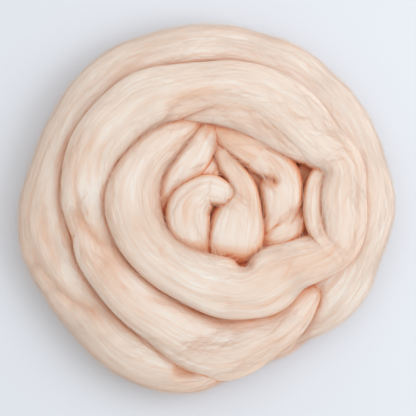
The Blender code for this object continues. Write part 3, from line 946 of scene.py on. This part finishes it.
def layBridges(kind):
    # Hairs that leave a band and lie over the seam to the next one.
    random = np.random.default_rng(kind["seed"])
    starts, ways = [], []
    for band in bands:
        skin, out = band["shown"]
        if not len(skin):
            continue
        share = band["length"] / sum(other["length"] for other in bands)
        count = int(kind["count"] * kind["tries"] * share)
        chosen = random.integers(0, len(skin), count)
        starts.append(skin[chosen])
        ways.append(out[chosen])
    start, way = np.concatenate(starts), np.concatenate(ways)
    count = len(start)
    angle = np.radians(random.uniform(-kind["turned"], kind["turned"], count))
    flat = unit(way[:, :2])
    turned = flat * np.cos(angle)[:, None] + leftOf(flat) * np.sin(angle)[:, None]
    across = leftOf(turned)
    share = np.linspace(-0.5, 0.5, kind["points"])
    length = random.uniform(*kind["length"], count)[:, None, None] * mm
    bow = random.normal(0, kind["bend"], count)[:, None, None] * mm
    plan = start[:, None, :2] + turned[:, None] * length * share[:, None]
    plan = plan + across[:, None] * bow * (4 * share[:, None] ** 2 - 0.5)
    line = np.concatenate([plan, np.zeros((count, kind["points"], 1))], axis=2)
    down = Vector((0, 0, -1))
    for places in line:
        for place in places:
            place[2] = kind["dropped"] * mm
            hit = coilTree.ray_cast(Vector(place), down)[0]
            place[2] = hit.z if hit else -1
    height = line[..., 2]
    whole = height.min(axis=1) > kind["lowest"] * mm
    whole &= np.abs(np.diff(height, axis=1)).max(axis=1) < kind["steepest"] * mm
    line = line[whole]
    for _ in range(kind["easings"]):
        height = line[..., 2]
        eased = 0.5 * (np.roll(height, 1, 1) + np.roll(height, -1, 1))
        eased[:, [0, -1]] = height[:, [0, -1]]
        line[..., 2] = np.maximum(height, eased)
    line[..., 2] += kind["lift"] * mm
    chosen = random.permutation(len(line))[:kind["count"]]
    line = line[chosen]
    print(kind["name"], "hairs:", len(line))
    out = np.zeros_like(line)
    out[..., 2] = 1
    return line, out, np.full(len(line), kind["shadeShift"]), random


for kind in (locks, fuzz, outlineFuzz, bridges):
    line, out, shadeShift, random = layBridges(kind) if kind is bridges else layFibres(kind)
    share = int(np.ceil(len(line) / kind["pieces"]))
    for index in range(kind["pieces"]):
        part = slice(index * share, (index + 1) * share)
        name = kind["name"] + str(index + 1)
        pieces[name] = makeFibres(kind, name, line[part], out[part], shadeShift[part], random)
print("fibres laid")

wool = {
    "cream": srgb("f0ece7"),      # the open wool, where most fibres lie side by side
    "peach": srgb("e8d2c0"),      # the streaks, and wool seen through other wool
    "creaseShade": srgb("e6b793"),       # painted shade on the sides of a crease
    "creaseBottomShade": srgb("da7c4c"),     # painted shade at its bottom
    "surface": {             # matt, with a faint warm glow along the edges
        "Roughness": 0.85, "Diffuse Roughness": 1.0, "Specular IOR Level": 0.25,
        "Sheen Weight": 0.3, "Sheen Roughness": 0.45, "Sheen Tint": srgb("ffd6b8"),
    },
    "noises": {              # length and width of each kind of streak, its detail and roughness
        "streaks": (45.0, 2.4, 3.0, 0.6),
        "fibres": (24.0, 0.75, 4.0, 0.65),   # real merino is 0.02 wide: as coarse as it needs to show
        "lines": (70.0, 5.0, 1.0, 0.5),
    },
    "fineTint": 0.9,
    "patch": 40.0,
    "patchTint": 0.7,
    "bump": 0.3,
    "bumpHeight": 0.6,
    # How much painted shade the valleys between strands and the creases get.
    "valleyShade": 0.6,
    "lineWidth": 0.024,      # in the noise's own measure: about 0.6 mm
    # How much the streaks tint the wool and its painted shade lines, and where peach and the painted
    # shade at a crease's bottom begin.
    "streakRange": {"From Min": 0.3, "From Max": 0.75, "To Max": 0.55},
    "lineRange": {"From Min": 0.38, "From Max": 0.62, "To Max": 0.42},
    "peachRange": {"From Min": 0.8, "From Max": 1.5},
    "creaseBottomShadeRange": {"From Min": 0.5, "From Max": 0.9, "To Max": 0.95},
    # How closed in a place is, and how much painted crease shade it gets.
    "shadeStops": ((0.05, 0.0), (0.2, 0.12), (0.36, 0.55), (0.56, 1.0)),
}


def newMaterial(name):
    material = bpy.data.materials.new(name)
    material.use_nodes = True
    return material, material.node_tree, material.node_tree.nodes["Principled BSDF"]


def finish(shader, surface):
    for name, value in surface.items():
        shader.inputs[name].default_value = value


def paintCreaseShade(tree, colour):
    # Painted shade: the further down between the bands a place lies, the warmer and darker its
    # colour, in place of the light that gets there through wool.
    paintedShade = addNode(tree, "Attribute", {}, attribute_name="paintedShade")
    ramp = addNode(tree, "ValToRGB", {"Fac": paintedShade})
    stops = ramp.node.color_ramp.elements
    first, *between, last = wool["shadeStops"]
    stops[0].position, stops[1].position = first[0], last[0]
    stops[0].color, stops[1].color = [first[1]] * 3 + [1], [last[1]] * 3 + [1]
    for place, share in between:
        stops.new(place).color = [share] * 3 + [1]
    creaseShaded = addNode(tree, "Mix", {0: ramp, 6: colour, 7: wool["creaseShade"]}, data_type="RGBA")
    creaseBottomShade = addNode(tree, "MapRange", {"Value": paintedShade, **wool["creaseBottomShadeRange"]},
                     interpolation_type="SMOOTHSTEP")
    return addNode(tree, "Mix", {0: creaseBottomShade, 6: creaseShaded, 7: wool["creaseBottomShade"]}, data_type="RGBA")


def combedWool():
    # Combed merino: matt and silky, with fine fibres all one way, in cream and peach streaks, with
    # painted shade in its valleys, its creases and between its strands.
    material, tree, shader = newMaterial("combed merino wool")
    fibreMap = addNode(tree, "UVMap", {}, uv_map="fibre")
    objectPlace = addNode(tree, "TexCoord", {})
    noise = {}
    for name, (length, width, detail, roughness) in wool["noises"].items():
        place = addNode(tree, "Mapping", {
            "Vector": fibreMap, "Scale": (1 / (length * mm), 1 / (width * mm), 1)})
        noise[name] = addNode(tree, "TexNoise", {
            "Vector": place, "Scale": 1.0, "Detail": detail, "Roughness": roughness})
    patches = addNode(tree, "TexNoise", {
        "Vector": objectPlace, "Scale": 1 / (wool["patch"] * mm), "Detail": 1.0})
    streakShare = addNode(tree, "MapRange", {"Value": noise["streaks"], **wool["streakRange"]})
    fineShare = addNode(tree, "Math", {
        0: noise["fibres"], 1: wool["fineTint"], 2: streakShare}, operation="MULTIPLY_ADD")
    patchShare = addNode(tree, "Math", {
        0: patches, 1: wool["patchTint"], 2: fineShare}, operation="MULTIPLY_ADD")
    mixShare = addNode(tree, "MapRange", {"Value": patchShare, **wool["peachRange"]})
    outer = addNode(tree, "Mix", {0: mixShare, 6: wool["cream"], 7: wool["peach"]}, data_type="RGBA")
    # Thin lines of painted shade where one strand lies beside the next. They come and go with the
    # streaks.
    fromLine = addNode(tree, "Math", {0: noise["lines"], 1: 0.5}, operation="SUBTRACT")
    lineApart = addNode(tree, "Math", {0: fromLine}, operation="ABSOLUTE")
    onLine = addNode(tree, "MapRange", {
        "Value": lineApart, "From Max": wool["lineWidth"], "To Min": 1.0, "To Max": 0.0},
        interpolation_type="SMOOTHSTEP")
    lineFades = addNode(tree, "MapRange", {"Value": noise["streaks"], **wool["lineRange"]})
    lineShadeShare = addNode(tree, "Math", {0: onLine, 1: lineFades}, operation="MULTIPLY")
    lineShaded = addNode(tree, "Mix", {0: lineShadeShare, 6: outer, 7: wool["creaseShade"]}, data_type="RGBA")
    # Painted shade in the valleys between strands and in the creases.
    valley = addNode(tree, "Attribute", {}, attribute_name="valley")
    valleyShadeShare = addNode(tree, "Math", {0: valley, 1: wool["valleyShade"]}, operation="MULTIPLY")
    valleyShaded = addNode(tree, "Mix", {0: valleyShadeShare, 6: lineShaded, 7: wool["creaseShade"]}, data_type="RGBA")
    bump = addNode(tree, "Bump", {
        "Height": noise["fibres"], "Strength": wool["bump"], "Distance": wool["bumpHeight"] * mm})
    tree.links.new(paintCreaseShade(tree, valleyShaded), shader.inputs["Base Color"])
    tree.links.new(bump, shader.inputs["Normal"])
    finish(shader, wool["surface"])
    return material


def fineWool():
    # Single locks of the same wool: each a little lighter or warmer than the next.
    material, tree, shader = newMaterial("fine merino locks")
    tone = addNode(tree, "Attribute", {}, attribute_name="tone")
    outer = addNode(tree, "Mix", {0: tone, 6: wool["cream"], 7: wool["peach"]}, data_type="RGBA")
    # Painted crease shade over each lock's own tone.
    tree.links.new(paintCreaseShade(tree, outer), shader.inputs["Base Color"])
    finish(shader, wool["surface"])
    return material


bandWool = combedWool()
lockWool = fineWool()
for name, piece in pieces.items():
    isBand = "fibre" in piece.data.uv_layers
    piece.data.materials.append(bandWool if isBand else lockWool)
    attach(piece, "root")
    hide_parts("roving_coil")
print("wool finished")

studio = {
    "floorSize": 3.0,
    "floorTooth": 1.5,         # millimetres from one grain of the card to the next
    "toothBump": 0.05,
    "toothHeight": 0.1,
    "floorSurface": {
        "Base Color": srgb("dfe4ec"), "Roughness": 0.9, "Specular IOR Level": 0.2,
    },
    "sky": {"Color": srgb("f7f5f0"), "Strength": 0.74},
    "lightColour": srgb("f7faff")[:3],
    "lights": {                # the place, size and power of each
        "key": ((0.68, 0.04, 0.85), 0.7, 3.3),
        "fill": ((0.2, 0.28, 0.95), 1.2, 3.55),
    },
    "frameWidth": 249.6,       # millimetres across the picture, at the height below
    "frameHeight": 20.0,
    "frameMiddle": (-0.6, 0.6),    # in the tables' plan
    "cameraHeight": 1.5,
    "sensor": 36.0,
    "diffuseBounces": 8,
    "mostBounces": 12,
}


def paperFloor():
    # Matt white card with a faint tooth.
    mesh = bpy.data.meshes.new("floor")
    bm = bmesh.new()
    bmesh.ops.create_grid(bm, x_segments=1, y_segments=1, size=0.5 * studio["floorSize"])
    bm.to_mesh(mesh)
    bm.free()
    card, tree, shader = newMaterial("matt white card")
    place = addNode(tree, "TexCoord", {})
    tooth = addNode(tree, "TexNoise", {
        "Vector": place, "Scale": 1 / (studio["floorTooth"] * mm), "Detail": 2.0})
    bump = addNode(tree, "Bump", {
        "Height": tooth, "Strength": studio["toothBump"], "Distance": studio["toothHeight"] * mm})
    tree.links.new(bump, shader.inputs["Normal"])
    finish(shader, studio["floorSurface"])
    mesh.materials.append(card)
    makeObject("floor", mesh)


def setCamera():
    camera = bpy.data.cameras.new("camera")
    camera.sensor_width = studio["sensor"]
    reach = studio["cameraHeight"] - studio["frameHeight"] * mm
    camera.lens = studio["sensor"] * reach / (studio["frameWidth"] * mm)
    camera.clip_end = 2 * studio["floorSize"]
    eye = makeObject("camera", camera)
    middle = (np.array(studio["frameMiddle"]) - coil["middle"]) * mm
    eye.location = (middle[0], middle[1], studio["cameraHeight"])
    scene.camera = eye


paperFloor()
for name, (place, size, power) in studio["lights"].items():
    light = bpy.data.lights.new(name, "AREA")
    light.size = size
    light.energy = power
    light.color = studio["lightColour"]
    lamp = makeObject(name, light)
    lamp.location = place
    lamp.rotation_euler = Vector(place).to_track_quat("Z", "Y").to_euler()
sky = bpy.data.worlds.new("studio")
sky.use_nodes = True
finish(sky.node_tree.nodes["Background"], studio["sky"])
scene.world = sky
scene.view_settings.view_transform = "Standard"
scene.cycles.diffuse_bounces = studio["diffuseBounces"]
scene.cycles.max_bounces = studio["mostBounces"]
setCamera()
print("studio set")

bpy.context.view_layer.update()
